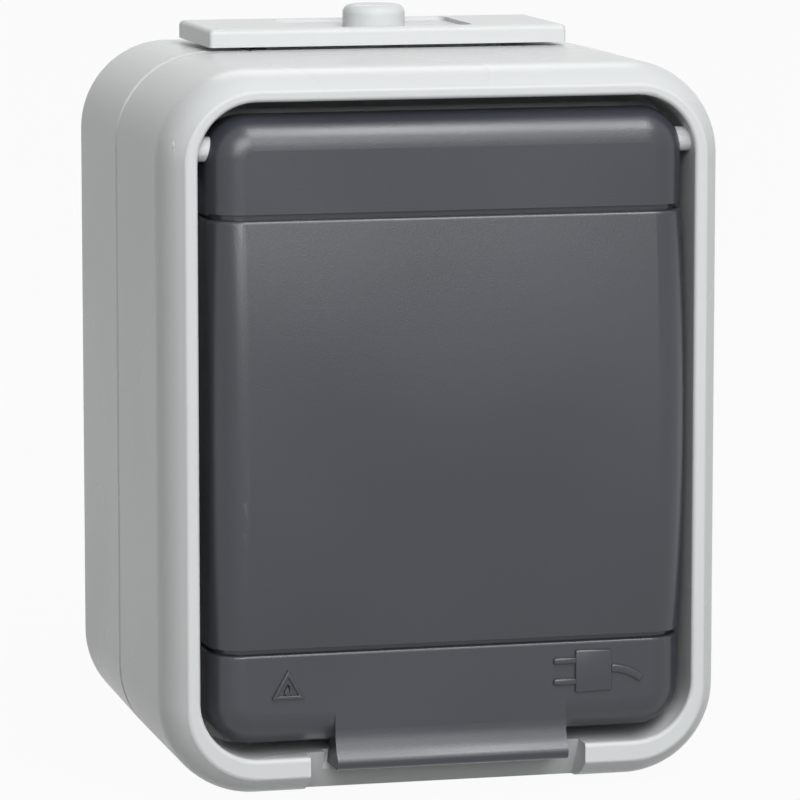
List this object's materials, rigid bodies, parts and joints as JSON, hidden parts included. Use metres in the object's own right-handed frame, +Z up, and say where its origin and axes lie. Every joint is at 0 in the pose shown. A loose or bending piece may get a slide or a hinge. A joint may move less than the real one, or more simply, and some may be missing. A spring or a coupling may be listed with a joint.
{
  "type": "outdoor weatherproof socket",
  "caption": "Surface-mounted splash-proof socket outlet: light grey two-part housing with a cable entry on top and a dark hinged self-closing lid over a round earthed recess.",
  "frame": {"origin": "centre of the flat back face that rests on the wall", "axes": "+Z up, -Y out of the wall towards the user, +X to the user's right"},
  "size_m": [0.067, 0.0572, 0.0899],
  "materials": {
    "housing_plastic": "smooth, light grey",
    "lid_plastic": "fine grained, dark blue-grey",
    "insert_plastic": "smooth, light grey",
    "base_plastic": "matt, off-white",
    "seal_rubber": "matt black",
    "contact_brass": "plain",
    "bow_steel": "plated spring steel",
    "spring_steel": "stainless",
    "screw_steel": "zinc plated"
  },
  "bodies": {
    "housing": {"back_box": "housing_plastic", "front_housing": "housing_plastic", "entry_plate": "housing_plastic", "hinge_pin_left": "housing_plastic", "hinge_pin_right": "housing_plastic", "lid_spring": "spring_steel", "housing_seal": "seal_rubber", "face_seal": "seal_rubber", "wall_grommets": "seal_rubber", "socket_face": "insert_plastic", "contact_base": "base_plastic", "contact_live": "contact_brass", "contact_neutral": "contact_brass", "clamp_live": "contact_brass", "clamp_neutral": "contact_brass", "clamp_earth": "contact_brass", "earth_bow": "bow_steel", "housing_screws": "screw_steel", "insert_screws": "screw_steel", "face_screw": "screw_steel", "clamp_screws": "screw_steel"},
    "lid": {"lid": "lid_plastic", "lid_seal": "seal_rubber"}
  },
  "joints": [
    {"name": "lid_hinge", "type": "hinge", "parent": "housing", "child": "lid", "pos_m": [0, -0.051, 0.03335], "axis": [-1, 0, 0], "range_deg": [0, 100], "stiffness_Nm_per_rad": 0.01, "springref_deg": -20.05, "deforming": ["lid_spring"]}
  ]
}
